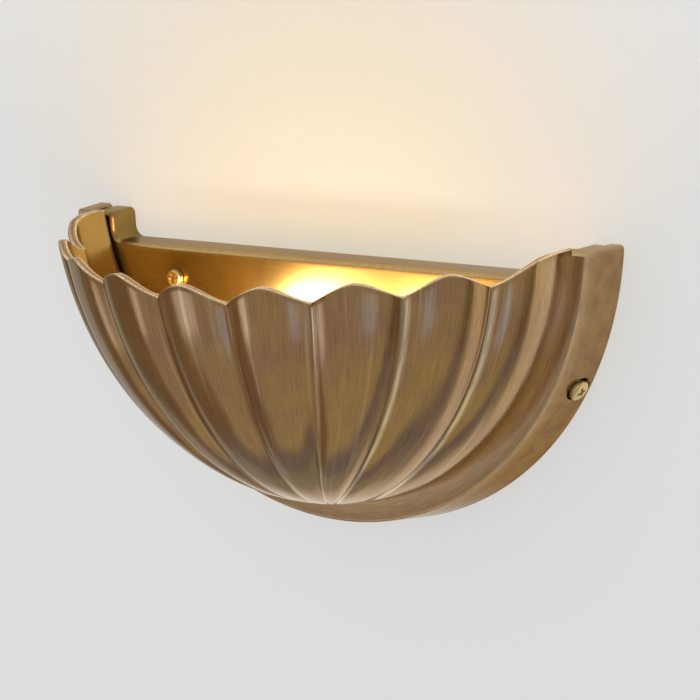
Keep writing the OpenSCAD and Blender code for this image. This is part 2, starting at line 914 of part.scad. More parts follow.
shell();
back_pan();
wall_strap();
side_screw_left();
side_screw_right();
pan_screw_left();
pan_screw_right();
lamp_bracket();
bracket_screws();
bracket_nuts();
holder_body();
holder_contacts();
holder_screws();
holder_nuts();
lamp_glass();
lamp_core();
lamp_cap();
lamp_pins();
lead_grommet();
lead_live();
lead_neutral();
terminal_block();
terminal_tubes();
terminal_screws();
terminal_fixings();
earth_screw();
earth_tag();
earth_lead();
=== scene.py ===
"""Looks of the fluted wall sconce, built round its packed construction.

Sizes here are in millimetres and are turned into metres when a mesh is finished.
The wall is the plane y = 0, the room lies towards -Y and +Z is up.
"""

import math

import bmesh
import bpy
from mathutils import Matrix, Vector


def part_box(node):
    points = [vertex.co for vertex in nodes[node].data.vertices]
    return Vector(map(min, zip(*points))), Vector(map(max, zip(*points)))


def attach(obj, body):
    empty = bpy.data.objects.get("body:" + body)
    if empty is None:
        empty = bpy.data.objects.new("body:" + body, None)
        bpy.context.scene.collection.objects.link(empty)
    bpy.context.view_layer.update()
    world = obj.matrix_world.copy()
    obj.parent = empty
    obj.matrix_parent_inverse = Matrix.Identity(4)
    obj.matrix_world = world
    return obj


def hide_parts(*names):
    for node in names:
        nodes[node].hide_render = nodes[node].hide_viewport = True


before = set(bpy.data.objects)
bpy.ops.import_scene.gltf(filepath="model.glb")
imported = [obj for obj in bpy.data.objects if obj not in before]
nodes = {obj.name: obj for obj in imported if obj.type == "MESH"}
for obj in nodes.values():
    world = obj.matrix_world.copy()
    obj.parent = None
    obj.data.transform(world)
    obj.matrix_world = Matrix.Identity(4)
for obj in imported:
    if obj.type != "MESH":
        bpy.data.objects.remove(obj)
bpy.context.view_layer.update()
MM = 0.001
GRAIN_PER_MM = 0.02  # the brush marks' coordinates

# ---- Sizes ----

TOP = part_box("shell")[1].z / MM  # the flat top edge
CENTRE_RISE = 17.75  # from the top edge up to the band's centre
DISC_Z = TOP + CENTRE_RISE
BAND_R = DISC_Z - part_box("shell")[0].z / MM
BAND_DEPTH = 21.6
BAND_DRAFT = 3.0
BAND_WALL = 4.5
FLANGE_WALL = 4.5
FLANGE_FACE = 9.3
FLANGE_STEP = 0.6
BAND_ROUND = 1.3  # rounding of the flange's front edge
BAND_ENDS = (2.0, 178.0)  # degrees that the band is swept between, before it is cut
EAR_BEVEL = 2.0
EAR_ROUND = 3.0
EAR_ROUND_TURNS = (18, 36, 54, 72)  # degrees of the cuts that round an ear

FLUTES = 9
BOWL_R = BAND_R - BAND_DRAFT - FLANGE_FACE
HALF_WIDTH = 128.5  # of the grooves' ellipse at the rim
REACH = 86.2  # its depth
BOWL_WALL = 4.0
BULGE = 6.5  # height of a flute over its grooves
BULGE_FADE = 1.0  # the flutes grow flatter towards the foot
ARCH_POWER = 3.0
END_POWER = 1.3  # the end flutes run flatter into the flange
GROOVE_SOFT = 0.02  # softness of a groove at the rim, as a share of the flute
GROOVE_FOOT = 0.06  # and at the foot
FRONT_TURN = 9.0  # degrees from the front to the first groove
SIDE_TURN = 18.2  # and on to the next
TURN_GROWTH = 0.7
GROOVE_SLIDE = (0.0, 9.0, 27.0, 25.0)  # how far each groove from the front swings forward by the foot
SLIDE_POWER = 1.2
DROP_SIDE = 10.6  # how far the rim's notches drop, at the side
DROP_FRONT = 15.6  # and in front
RIM_RISE = 9.0  # height of a scallop
END_RISE = 4.2
RIM_POWER = 1.65
RIM_OVER = 0.6
ROOT_SINK = 0.8
LIP_ROUND = 1.0
GROOVE_FILL = 1.4  # how soon a groove reaches the foot's softness
COLUMNS = 30  # columns of points across a flute
FACE_ROWS = 63  # rows of points on each face of the bowl's wall, below its lip
LIP_ROWS = 6  # and on each rounded corner of the lip
FLAT_ROW = FACE_ROWS + LIP_ROWS  # the row on the lip's flat

# Painted shade in the grooves and on the lip's flat; painted highlights beside the grooves, towards the
# foot, on the end flutes and on the lip's corners
GROOVE_LINE = 0.025  # half width of a groove's painted shade line, as a share of the flute
GROOVE_DARK = 0.45
END_GROOVE_DARK = 0.35  # beside the flange, where the line fades out upwards
END_GROOVE_TOP = 0.6
LIP_DARK = 0.75
CREST = 0.045  # how far a painted highlight line lies from its groove
CREST_HIGHLIGHT = 1.6
CREST_FADE = 0.5  # the share of it that is lost from the foot to the rim
FOOT_HIGHLIGHT = 0.12
END_HIGHLIGHT = 0.6
END_HIGHLIGHT_WIDTH = 0.25

PAN_DEPTH = 15.4
PAN_WALL = 3.0
PAN_GAP = 0.6
BAR_DROP = 14.6
UPRIGHT_IN = 130.2  # from the middle to an upright
UPRIGHT_DROP = 1.5  # the uprights end this far below the band's ears
UPRIGHT_FILLET = 5.0
PAN_ROUND = 2.2  # rounding of the pan's front edge
CORNER_ROUND = 2.6  # rounding of an upright's top corner
PAN_BACK = PAN_DEPTH - PAN_WALL
PAN_SEAT_OUT = 5.0
BOSS_D = 9.0
SCREW_HOLE_D = 4.5
BRACKET_SCREW_X, BRACKET_SCREW_Z = 11.0, -48.8
EARTH_X, EARTH_Z, EARTH_SEAT_OUT = 42.0, -26.0, 8.0
EARTH_HOLE_D = 4.0
BLOCK_SCREW_X, BLOCK_HOLE_D = 5.0, 3.0  # the terminal block's, level with the earth screw
LEAD_HOLE_Z, LEAD_HOLE_D = -78.8, 9.1
SIDE_BOSS_D = 12.0
SIDE_BORE_D = 5.1

SIDE_SCREW_OUT = 7.2  # out of the wall
SIDE_SCREW_SLOPE = 32.5  # degrees below level
SIDE_HOLE_D = 11.4
COUNTERSINK = 0.5
SIDE_HEAD_OUT = 2.5  # how far a side screw's head stands out of the band
SIDE_SCREW = {"diameter": 5, "length": 14, "pitch": 0.8, "head_d": 9.5, "head_h": 2.9}
PAN_SCREW_X = 92.3
PAN_HEAD_GAP = 0.3
PAN_SCREW = {"diameter": 4, "length": 14.9, "pitch": 0.7, "head_d": 8, "head_h": 3.1}
SCREW_TURN = 20.0
THREAD_DEPTH = 0.42

GLASS_WALL = 1.0
GLOWS = (("lamp_light", -40, 1.25), ("lamp_light_end", 22, 0.7))  # name, mm to the lamp's right, energy
GLOW_COLOUR = (1.0, 0.81, 0.6)
WASH_RISE = 0.08  # how far up the lamp the wall's light sits
WASH_ENERGY = 61.0
WASH_COLOUR = (0.95, 0.83, 0.72)

KEY_AZIMUTH, KEY_ELEVATION = math.radians(-50), math.radians(40)
KEY_DISTANCE, KEY_SIZE, KEY_ENERGY = 2.4, 1.4, 4
KEY_COLOUR = (1.0, 0.98, 0.96)

WALL_BACK = 0.3  # the stage starts this far behind the plane y = 0
WALL_REACH, WALL_TOP, FLOOR_Z, FLOOR_REACH = 3000, 2500, -900, 4000


def band_r_at(out):
    return BAND_R - BAND_DRAFT * out / BAND_DEPTH


PAN_R = band_r_at(PAN_DEPTH) - BAND_WALL - PAN_GAP
BAR_Z = TOP - BAR_DROP

# ---- Mesh helpers ----


def blend(a, b, t):
    """The value a share t of the way from a to b."""
    return a + (b - a) * t


def bump_at(offset, width):
    """A soft bump of height 1, over about one width to each side."""
    return math.exp(-(offset / width) ** 2)


def new_object(name, data):
    """A new object, put into the scene."""
    made = bpy.data.objects.new(name, data)
    bpy.context.scene.collection.objects.link(made)
    return made


def make_object(name, bm, materials):
    """Turns a millimetre bmesh into an object in metres."""
    mesh = bpy.data.meshes.new(name)
    bm.to_mesh(mesh)
    bm.free()
    mesh.transform(Matrix.Scale(MM, 4))
    for material in materials:
        mesh.materials.append(material)
    return new_object(name, mesh)


def finish_piece(name, bm, body, materials, sharp=32.0):
    """A smooth piece that rides on a body, with crisp edges where it bends by over sharp degrees."""
    bmesh.ops.recalc_face_normals(bm, faces=bm.faces)
    limit = math.radians(sharp)
    for face in bm.faces:
        face.smooth = True
    for edge in bm.edges:
        edge.smooth = edge.calc_face_angle(0.0) < limit
    piece = make_object(name, bm, materials)
    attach(piece, body)
    return piece


def loft(rings):
    """A solid skinned over rings of as many points each, with both ends capped."""
    bm = bmesh.new()
    made = [[bm.verts.new(p) for p in ring] for ring in rings]
    count = len(rings[0])
    for low, high in zip(made, made[1:]):
        for i in range(count):
            j = (i + 1) % count
            bm.faces.new((low[i], low[j], high[j], high[i]))
    bm.faces.new(made[0])
    bm.faces.new(made[-1])
    return bm


def lathe(profile, steps):
    """A solid turned about its own Z axis, from (radius, height) pairs."""
    turns = [math.tau * k / steps for k in range(steps)]
    return loft([[(radius * math.cos(turn), radius * math.sin(turn), height) for turn in turns]
                 for radius, height in profile])


def rod(diameter, start, end, steps=40):
    """A round rod along its own Z axis."""
    return lathe([(diameter / 2, start), (diameter / 2, end)], steps)


def arc(centre_x, centre_y, radius, start, end, steps):
    """Points on an arc, with its turns in degrees."""
    points = []
    for k in range(steps + 1):
        turn = math.radians(blend(start, end, k / steps))
        points.append((centre_x + radius * math.cos(turn), centre_y + radius * math.sin(turn)))
    return points


def plane_cut(bm, point, normal):
    """Cuts off what lies past a plane and closes the cut."""
    everything = bm.verts[:] + bm.edges[:] + bm.faces[:]
    cut = bmesh.ops.bisect_plane(bm, geom=everything, dist=1e-5, plane_co=point, plane_no=normal,
                                 clear_outer=True)
    edges = [e for e in cut["geom_cut"] if isinstance(e, bmesh.types.BMEdge)]
    bmesh.ops.holes_fill(bm, edges=edges, sides=0)


def carved(bm, tool, operation="DIFFERENCE"):
    """The bmesh with another one cut from it or joined to it."""
    pair = []
    for part in (bm, tool):
        bmesh.ops.recalc_face_normals(part, faces=part.faces)
        mesh = bpy.data.meshes.new("carving")
        part.to_mesh(mesh)
        part.free()
        pair.append(new_object("carving", mesh))
    cut = pair[0].modifiers.new("cut", "BOOLEAN")
    cut.operation = operation
    cut.solver = "EXACT"
    cut.object = pair[1]
    result = bmesh.new()
    result.from_object(pair[0], bpy.context.evaluated_depsgraph_get())
    for part in pair:
        bpy.data.meshes.remove(part.data)  # and the object with it
    return result


def placed(bm, matrix):
    """The bmesh moved to its place."""
    bmesh.ops.transform(bm, matrix=matrix, verts=bm.verts)
    return bm


def out_of_wall(x, out, z):
    """The place of a piece whose own +Z points out of the wall."""
    return Matrix.Translation((x, -out, z)) @ Matrix.Rotation(math.radians(90), 4, "X")


def side_screw_place(side, radius):
    """The place of a piece on a side screw's axis, with its own +Z pointing out of the band."""
    turn = Matrix.Rotation(math.radians(side * (90 + SIDE_SCREW_SLOPE)), 4, "Y")
    return Matrix.Translation((0, -SIDE_SCREW_OUT, DISC_Z)) @ turn @ Matrix.Translation((0, 0, radius))


def paint(bm, name, value_at):
    """Writes a value from 0 to 1 for each vertex, which the materials read by name."""
    layer = bm.verts.layers.float.new(name)
    for vert in bm.verts:
        vert[layer] = max(0.0, min(1.0, value_at(vert.co)))


def brush_along(bm, across_and_along):
    """Gives the brush marks their direction, from millimetres across them and along them."""
    grain = bm.loops.layers.uv.new("grain")
    for face in bm.faces:
        for loop in face.loops:
            across, along = across_and_along(loop.vert.co)
            loop[grain].uv = (across * GRAIN_PER_MM, along * GRAIN_PER_MM)


# ---- Material helpers ----


def fill(tree, node, inputs):
    """Links inputs of a node to other sockets, or sets them to plain values."""
    for name, value in inputs.items():
        socket = node.inputs[name]
        if isinstance(value, bpy.types.NodeSocket):
            tree.links.new(value, socket)
        else:
            socket.default_value = value


def put(tree, kind, inputs=None, **settings):
    """Adds a shader node, sets it up and fills its inputs."""
    node = tree.nodes.new("ShaderNode" + kind)
    for name, value in settings.items():
        setattr(node, name, value)
    fill(tree, node, inputs or {})
    return node


def group(name, inputs, outputs):
    """An empty shader node group with named sockets."""
    tree = bpy.data.node_groups.new(name, "ShaderNodeTree")
    for in_out, sockets in (("INPUT", inputs), ("OUTPUT", outputs)):
        for socket, kind in sockets:
            tree.interface.new_socket(socket, in_out=in_out, socket_type="NodeSocket" + kind)
    return tree, tree.nodes.new("NodeGroupInput").outputs, tree.nodes.new("NodeGroupOutput")


def use(tree, effect, inputs):
    """The outputs of an effect's group, put into a tree."""
    return put(tree, "Group", inputs, node_tree=effect).outputs


def ramp(tree, value, low, high):
    """A smooth step of a value from low to high."""
    return put(tree, "MapRange", {"Value": value, "From Min": low, "From Max": high},
               interpolation_type="SMOOTHSTEP").outputs["Result"]


def mix(tree, share, a, b):
    """A colour between two others."""
    return put(tree, "Mix", {0: share, 6: a, 7: b}, data_type="RGBA").outputs[2]


def maths(tree, operation, a, b=0.0, c=0.0, clamp=False):
    """One sum of plain values. MULTIPLY_ADD is a * b + c."""
    return put(tree, "Math", {0: a, 1: b, 2: c}, operation=operation, use_clamp=clamp).outputs[0]


def product(tree, first, *others):
    for other in others:
        first = maths(tree, "MULTIPLY", first, other)
    return first


def distance(tree, place, centre, stretch):
    """How far a place is from a centre, once each axis is stretched."""
    apart = put(tree, "VectorMath", {0: place, 1: centre}, operation="SUBTRACT").outputs[0]
    apart = put(tree, "VectorMath", {0: apart, 1: stretch}, operation="MULTIPLY").outputs[0]
    return put(tree, "VectorMath", {0: apart}, operation="LENGTH").outputs["Value"]


def noise(tree, place, scale, detail, roughness=0.5):
    return put(tree, "TexNoise", {"Vector": place, "Scale": scale, "Detail": detail,
                                  "Roughness": roughness}).outputs["Fac"]


def make_brush_marks():
    """Fine lines left by brushing, along the second axis of the grain's coordinates."""
    tree, given, result = group(
        "brush marks", [("Grain", "Vector"), ("Fineness", "Float"), ("Length", "Float")],
        [("Lines", "Float"), ("Streaks", "Float")])
    stretch = put(tree, "CombineXYZ", {"X": 1.0, "Y": given["Length"], "Z": 1.0}).outputs[0]
    coords = put(tree, "VectorMath", {0: given["Grain"], 1: stretch}, operation="MULTIPLY").outputs[0]
    fill(tree, result, {
        "Lines": noise(tree, coords, given["Fineness"], 3.0, 0.6),
        "Streaks": noise(tree, coords, product(tree, given["Fineness"], 0.12), 2.0)})
    return tree


def make_tarnish():
    """Cloudy tarnish: broad clouds broken up by small specks."""
    tree, given, result = group(
        "tarnish", [("Place", "Vector"), ("Cloud Size", "Float"), ("Speck Size", "Float")],
        [("Clouds", "Float"), ("Specks", "Float")])
    clouds = noise(tree, given["Place"], given["Cloud Size"], 4.0, 0.55)
    specks = noise(tree, given["Place"], given["Speck Size"], 2.0)
    fill(tree, result, {"Clouds": ramp(tree, clouds, 0.3, 0.7), "Specks": ramp(tree, specks, 0.55, 0.75)})
    return tree


def make_browning_and_painted_light():
    """Brass that has browned unevenly and is dark in its specks, with the painted shade and painted
    highlights that its piece's vertices carry.
    """
    colours = ("Dark", "Tone", "Gold", "Bright")
    masks = ("Lines", "Streaks", "Clouds", "Specks", "Painted_Shade", "Painted_Highlight", "Marking")
    inputs = [(name, "Color") for name in colours] + [(name, "Float") for name in masks]
    tree, given, result = group("browning_and_painted_light", inputs, [("Colour", "Color")])
    plain = maths(tree, "SUBTRACT", 1.0, given["Marking"])
    highlight_grain = maths(tree, "MAXIMUM", ramp(tree, given["Lines"], 0.2, 0.6), plain)
    colour = given["Tone"]
    for share, other in (
            (product(tree, given["Clouds"], 0.9), "Gold"),
            (product(tree, ramp(tree, given["Lines"], 0.62, 0.34), given["Marking"], 0.22), "Dark"),
            (product(tree, ramp(tree, given["Streaks"], 0.55, 0.75), given["Marking"], 0.16), "Bright"),
            (product(tree, given["Specks"], given["Marking"], 0.15), "Dark"),
            # painted shade, then painted highlights broken up by the brush lines
            (given["Painted_Shade"], "Dark"),
            (maths(tree, "MULTIPLY", given["Painted_Highlight"], highlight_grain, clamp=True), "Bright")):
        colour = mix(tree, share, colour, given[other])
    fill(tree, result, {"Colour": colour})
    return tree


BRUSH_MARKS = make_brush_marks()
TARNISH = make_tarnish()
BROWNING_AND_PAINTED_LIGHT = make_browning_and_painted_light()


def new_material(name):
    material = bpy.data.materials.new(name)
    material.use_nodes = True
    tree = material.node_tree
    return material, tree, tree.nodes["Principled BSDF"]


def attribute(tree, name):
    """A value that was painted on the vertices."""
    return put(tree, "Attribute", attribute_name=name).outputs["Fac"]


def object_place(tree):
    return put(tree, "TexCoord").outputs["Object"]


def bump(tree, height, strength, depth):
    """A normal raised by a height."""
    return put(tree, "Bump", {"Height": height, "Strength": strength, "Distance": depth}).outputs[0]


def darker(colour, share):
    return [part * share for part in colour[:3]] + [1]


def brass(name, dark, tone, gold, bright, roughness, marking, coat, length=0.1, coat_roughness=0.05,
          cloud_size=34.0, edge=(0.62, 0.48, 0.34, 1)):
    """Browned brass that is brushed and lacquered, with painted shade and painted highlights from its
    piece's vertices, and with the edge colour where it is seen at a slant.
    """
    material, tree, shader = new_material(name)
    place = put(tree, "TexCoord").outputs
    marks = use(tree, BRUSH_MARKS, {"Grain": place["UV"], "Fineness": 150.0, "Length": length})
    tarnish = use(tree, TARNISH, {"Place": place["Object"], "Cloud Size": cloud_size, "Speck Size": 1300.0})
    browned_and_painted = use(tree, BROWNING_AND_PAINTED_LIGHT, {
        "Dark": dark, "Tone": tone, "Gold": gold, "Bright": bright,
        "Lines": marks["Lines"], "Streaks": marks["Streaks"],
        "Clouds": tarnish["Clouds"], "Specks": tarnish["Specks"],
        # painted shade and painted highlights, read from the vertices
        "Painted_Shade": attribute(tree, "recess"), "Painted_Highlight": attribute(tree, "painted_highlight"), "Marking": marking})
    spread = 0.14 * min(marking, 1.0)
    fill(tree, shader, {
        "Base Color": browned_and_painted["Colour"],
        "Metallic": 1.0,
        "Roughness": maths(tree, "MULTIPLY_ADD", marks["Lines"], spread, roughness - spread / 2),
        "Normal": bump(tree, marks["Lines"], 0.08 * marking, 0.0004),
        "Coat Weight": coat,
        "Coat Roughness": coat_roughness,
        "Specular Tint": edge})
    return material


def plated(name, colour, dark, roughness):
    """Plated or turned metal with light handling marks."""
    material, tree, shader = new_material(name)
    place = object_place(tree)
    tarnish = use(tree, TARNISH, {"Place": place, "Cloud Size": 90.0, "Speck Size": 1800.0})
    marks = use(tree, BRUSH_MARKS, {"Grain": place, "Fineness": 2500.0, "Length": 0.1})
    clouds, specks = product(tree, tarnish["Clouds"], 0.45), product(tree, tarnish["Specks"], 0.6)
    fill(tree, shader, {
        "Base Color": mix(tree, maths(tree, "MAXIMUM", clouds, specks), colour, dark),
        "Metallic": 1.0,
        "Roughness": maths(tree, "MULTIPLY_ADD", marks["Lines"], 0.2, roughness - 0.1),
        "Normal": bump(tree, marks["Lines"], 0.08, 0.0002)})
    return material


def fired_clay(name, colour):
    """White technical ceramic, fine grained and slightly glossy."""
    material, tree, shader = new_material(name)
    tarnish = use(tree, TARNISH, {"Place": object_place(tree), "Cloud Size": 60.0, "Speck Size": 2600.0})
    clouds, specks = product(tree, tarnish["Clouds"], 0.2), product(tree, tarnish["Specks"], 0.35)
    fill(tree, shader, {
        "Base Color": mix(tree, maths(tree, "MAXIMUM", clouds, specks), colour, darker(colour, 0.8)),
        "Roughness": 0.5,
        "Normal": bump(tree, tarnish["Specks"], 0.1, 0.0001)})
    return material


def sleeving(name, colour):
    """Insulating sleeve or rubber, slightly uneven and matt."""
    material, tree, shader = new_material(name)
    tarnish = use(tree, TARNISH, {"Place": object_place(tree), "Cloud Size": 220.0, "Speck Size": 3000.0})
    fill(tree, shader, {
        "Base Color": mix(tree, product(tree, tarnish["Clouds"], 0.4), colour, darker(colour, 0.6)),
        "Roughness": 0.55,
        "Normal": bump(tree, tarnish["Specks"], 0.12, 0.0001)})
    return material


def lamp_glass_material():
    material, tree, shader = new_material("lamp glass")
    tarnish = use(tree, TARNISH, {"Place": object_place(tree), "Cloud Size": 120.0, "Speck Size": 1500.0})
    fill(tree, shader, {
        "Base Color": mix(tree, tarnish["Clouds"], (1, 1, 1, 1), (1, 0.97, 0.92, 1)),
        "Roughness": 0.08,
        "IOR": 1.46,
        "Transmission Weight": 1.0})
    return material


def lit_core_material():
    """The lamp's light source, with the turns of a coil."""
    material, tree, shader = new_material("lit core")
    coil = put(tree, "TexWave", {"Vector": object_place(tree), "Scale": 400.0, "Distortion": 1.0},
               bands_direction="Z").outputs["Fac"]
    fill(tree, shader, {
        "Base Color": (1, 0.9, 0.7, 1),
        "Emission Color": mix(tree, coil, (1, 0.72, 0.36, 1), (1, 0.84, 0.55, 1)),
        "Emission Strength": 20.0})
    return material


AGED = brass(
    "aged brass", dark=(0.17, 0.085, 0.035, 1), tone=(0.36, 0.202, 0.095, 1), gold=(0.41, 0.252, 0.085, 1),
    bright=(0.9, 0.74, 0.5, 1), roughness=0.13, marking=1.5, coat=0.5, length=0.16, cloud_size=50.0,
    edge=(0.9, 0.8, 0.64, 1))
AGED_BAND = brass(
    "aged brass band", dark=(0.14, 0.075, 0.035, 1), tone=(0.24, 0.14, 0.07, 1),
    gold=(0.32, 0.2, 0.085, 1), bright=(0.7, 0.5, 0.29, 1), roughness=0.2, marking=0.35, coat=0.15,
    cloud_size=130.0)
INSIDE = brass(
    "inner brass", dark=(0.22, 0.11, 0.02, 1), tone=(0.4, 0.235, 0.065, 1), gold=(0.44, 0.28, 0.08, 1),
    bright=(0.85, 0.62, 0.28, 1), roughness=0.28, marking=0.3, coat=0.15)
PAN_BRASS = brass(
    "pan brass", dark=(0.18, 0.09, 0.015, 1), tone=(0.2, 0.126, 0.02, 1), gold=(0.27, 0.175, 0.028, 1),
    bright=(0.8, 0.58, 0.28, 1), roughness=0.28, marking=0.25, coat=0.6, coat_roughness=0.3,
    cloud_size=40.0)
PALE_BRASS = plated("pale brass", (0.66, 0.5, 0.22, 1), (0.36, 0.24, 0.1, 1), 0.3)

# ---- Bowl ----


def side_groove(n, narrowed):
    """Place in plan of the n-th groove from the front, on the right side."""
    slide = GROOVE_SLIDE[n] * narrowed ** SLIDE_POWER
    turn = math.radians(FRONT_TURN + n * SIDE_TURN + n * n * TURN_GROWTH - slide)
    return Vector((HALF_WIDTH * math.sin(turn), REACH * math.cos(turn)))


def border(k, narrowed=0.0):
    """Place in plan of the k-th of the ten borders between the flutes, before the bowl narrows.

    The share that the bowl has narrowed by, 0 at the rim and 1 at the foot, swings it to the front.
    """
    if k in (0, FLUTES):
        return Vector((BOWL_R if k else -BOWL_R, 0.0))
    if k <= FLUTES // 2:
        groove = side_groove(FLUTES // 2 - k, narrowed)
        return Vector((-groove.x, groove.y))
    return side_groove(k - FLUTES // 2 - 1, narrowed)


def flute_at(u):
    """The flute that lies u flutes from the left."""
    return min(int(u), FLUTES - 1)


def groove_distance(u):
    """How far the nearest groove is, as a share of the flute."""
    share = u - flute_at(u)
    return min(share, 1 - share)


def is_by_flange(u):
    """Whether a place is on the outer half of an end flute."""
    return abs(u - FLUTES / 2) > FLUTES / 2 - 0.5


def arch(u, softness=GROOVE_SOFT):
    """Height of a flute's arch, from 0 at its grooves to 1 at its middle."""
    if is_by_flange(u):
        return 1 - abs(2 * groove_distance(u) - 1) ** END_POWER
    soft = min(math.hypot(groove_distance(u), softness), 0.5)
    return 1 - abs(2 * soft - 1) ** ARCH_POWER


def chord_at(u, narrowed):
    """A place on the straight line between a flute's two borders, and the way that the flute bulges."""
    k = flute_at(u)
    start, end = border(k, narrowed), border(k + 1, narrowed)
    chord = end - start
    return start + chord * (u - k), Vector((-chord.y, chord.x)).normalized()


def plan(u, narrowed):
    """Place in plan of the outer face, before the bowl narrows."""
    place, out = chord_at(u, narrowed)
    return place + out * BULGE * arch(u)


def plan_out(u, narrowed):
    """The way out of the bowl in plan."""
    if u in (0, FLUTES):
        return Vector((1.0 if u else -1.0, 0.0))
    step = 0.04
    run = plan(min(u + step, FLUTES), narrowed) - plan(max(u - step, 0), narrowed)
    return Vector((-run.y, run.x)).normalized()


def border_z(k):
    """Height of the rim at a border between two flutes."""
    if k in (0, FLUTES):
        return TOP + RIM_OVER
    frontness = border(k).y ** 2 / border(k).length_squared
    return TOP - DROP_SIDE - (DROP_FRONT - DROP_SIDE) * frontness


def rim_z(u):
    """Height of the scalloped rim."""
    k = flute_at(u)
    share = u - k
    rise = END_RISE if k in (0, FLUTES - 1) else RIM_RISE
    return blend(border_z(k), border_z(k + 1), share) + rise * (1 - abs(2 * share - 1) ** RIM_POWER)


class Cut:
    """One upright cut through the bowl's wall, at u flutes from the left."""

    def __init__(self, u):
        self.u = u
        self.rim = rim_z(u)
        self.arch = arch(u)
        self.filling = arch(u, GROOVE_FOOT) - self.arch

    def point(self, dip, inset):
        """A point of the wall: dip runs from 0 at the rim to 1 at the foot."""
        rim_turn = math.asin((DISC_Z - self.rim) / (BOWL_R - inset))
        turn = blend(rim_turn, math.pi / 2, dip)
        narrowed = 1 - math.cos(turn) / math.cos(rim_turn)
        base, bulge_out = chord_at(self.u, narrowed)
        height = self.arch + self.filling * min(1, GROOVE_FILL * dip)
        bulge = BULGE * height * math.cos(turn) ** BULGE_FADE
        place = base + bulge_out * bulge - plan_out(self.u, narrowed) * inset
        sag = bulge * math.cos(turn) * math.sin(turn)
        return Vector((place.x * math.cos(turn), -BAND_DEPTH - place.y * math.cos(turn),
                       DISC_Z - (BOWL_R - inset) * math.sin(turn) - sag))

    def lip(self, inset, other):
        """The rounded corner of the rim on one face, from the face up to the lip's flat."""
        reach = LIP_ROUND / (BOWL_R * math.pi / 2)
        start = self.point(reach, inset)
        corner = self.point(0, inset)
        across = self.point(0, other) - corner
        end = corner + across.normalized() * LIP_ROUND
        shares = [k / (LIP_ROWS - 1) for k in range(LIP_ROWS)]
        return [start.lerp(corner, t).lerp(corner.lerp(end, t), t) for t in shares]


def bowl_columns():
    """Places across the bowl, closer together at the grooves, with the points of each one's cut.

    The points run from the outer foot up over the lip and down to the inner foot. The first and the
    last column are let into the flange.
    """
    dips = [(row + 1) / (FACE_ROWS + 1) for row in range(FACE_ROWS)]
    places = [k + 0.5 - 0.5 * math.cos(math.pi * i / COLUMNS) for k in range(FLUTES) for i in range(COLUMNS)]
    columns = []
    for u in places + [float(FLUTES)]:
        cut = Cut(u)
        lip_out, lip_in = cut.lip(0, BOWL_WALL), cut.lip(BOWL_WALL, 0)
        outside = [cut.point(dip, 0) for dip in reversed(dips)]
        inside = [cut.point(dip, BOWL_WALL) for dip in dips]
        flat = lip_out[-1].lerp(lip_in[-1], 0.5)
        columns.append((u, outside + lip_out + [flat] + lip_in[::-1] + inside))

    def set_back(column, depth):
        u, points = column
        return u, [point + Vector((0, depth, 0)) for point in points]

    first, last = columns[0], columns[-1]
    return ([set_back(first, FLANGE_WALL / 2), set_back(first, ROOT_SINK)] + columns[1:-1]
            + [set_back(last, ROOT_SINK), set_back(last, FLANGE_WALL / 2)])


def bowl_painted_light(u, row):
    """The painted shade and the painted highlight of the bowl at a row of a cut."""
    from_flat = abs(row - FLAT_ROW)
    if row >= FACE_ROWS:
        return LIP_DARK * (from_flat == 0), max(0.0, 1 - abs(from_flat - LIP_ROWS / 2) / 2.5)
    height = row / FACE_ROWS
    groove = bump_at(groove_distance(u), GROOVE_LINE)
    dark = END_GROOVE_DARK * max(0.0, END_GROOVE_TOP - height) if is_by_flange(u) else GROOVE_DARK
    crest = CREST_HIGHLIGHT * bump_at(u - flute_at(u) - CREST, GROOVE_LINE) * (1 - CREST_FADE * height)
    painted_highlight = max(FOOT_HIGHLIGHT * (1 - height) * (1 - groove), crest)
    if is_by_flange(u):
        painted_highlight = max(painted_highlight, END_HIGHLIGHT * bump_at(groove_distance(u), END_HIGHLIGHT_WIDTH))
    return groove * dark, painted_highlight


def add_bowl_points(bm, columns):
    """The vertices of the bowl's columns, with their painted shade and painted highlights."""
    recess = bm.verts.layers.float.new("recess")
    painted_highlight = bm.verts.layers.float.new("painted_highlight")
    made = []
    for u, points in columns:
        made.append([bm.verts.new(point) for point in points])
        for row, vert in enumerate(made[-1]):
            vert[recess], vert[painted_highlight] = bowl_painted_light(u, row)
    return made


def skin_bowl(bm, places, made, feet):
    """Skins the columns and closes them at the foot and both ends. The inner face is material 1."""
    grain = bm.loops.layers.uv.new("grain")
    rows = len(made[0])
    last = len(made) - 1

    def corner(i, row):
        return made[i][row], (places[i] * 0.5, row / rows)

    def add_face(corners, material=0):
        face = bm.faces.new([vert for vert, _ in corners])
        face.material_index = material
        for loop, (_, where) in zip(face.loops, corners):
            loop[grain].uv = where

    def add_hidden(verts, material=0):
        add_face([(vert, (0, 0)) for vert in verts], material)

    for i in range(last):
        for row in range(rows - 1):
            corners = [corner(i, row), corner(i + 1, row), corner(i + 1, row + 1), corner(i, row + 1)]
            add_face(corners, int(row >= FLAT_ROW + LIP_ROWS - 1))
        for side, row in ((0, 0), (1, rows - 1)):
            pole = feet[side, ROOT_SINK]
            add_face([corner(i, row), (pole, corner(i, row)[1]), corner(i + 1, row)], side)
            if i in (0, last - 1):
                end = made[0 if i == 0 else last]
                add_hidden([end[row], feet[side, FLANGE_WALL / 2], pole], side)
    for end in (made[0], made[last]):
        for row in range(rows // 2):
            mirror = rows - 1 - row
            if mirror - row > 1:
                add_hidden([end[r] for r in dict.fromkeys((row, row + 1, mirror - 1, mirror))])
        add_hidden([end[0], end[-1], feet[1, FLANGE_WALL / 2], feet[0, FLANGE_WALL / 2]])


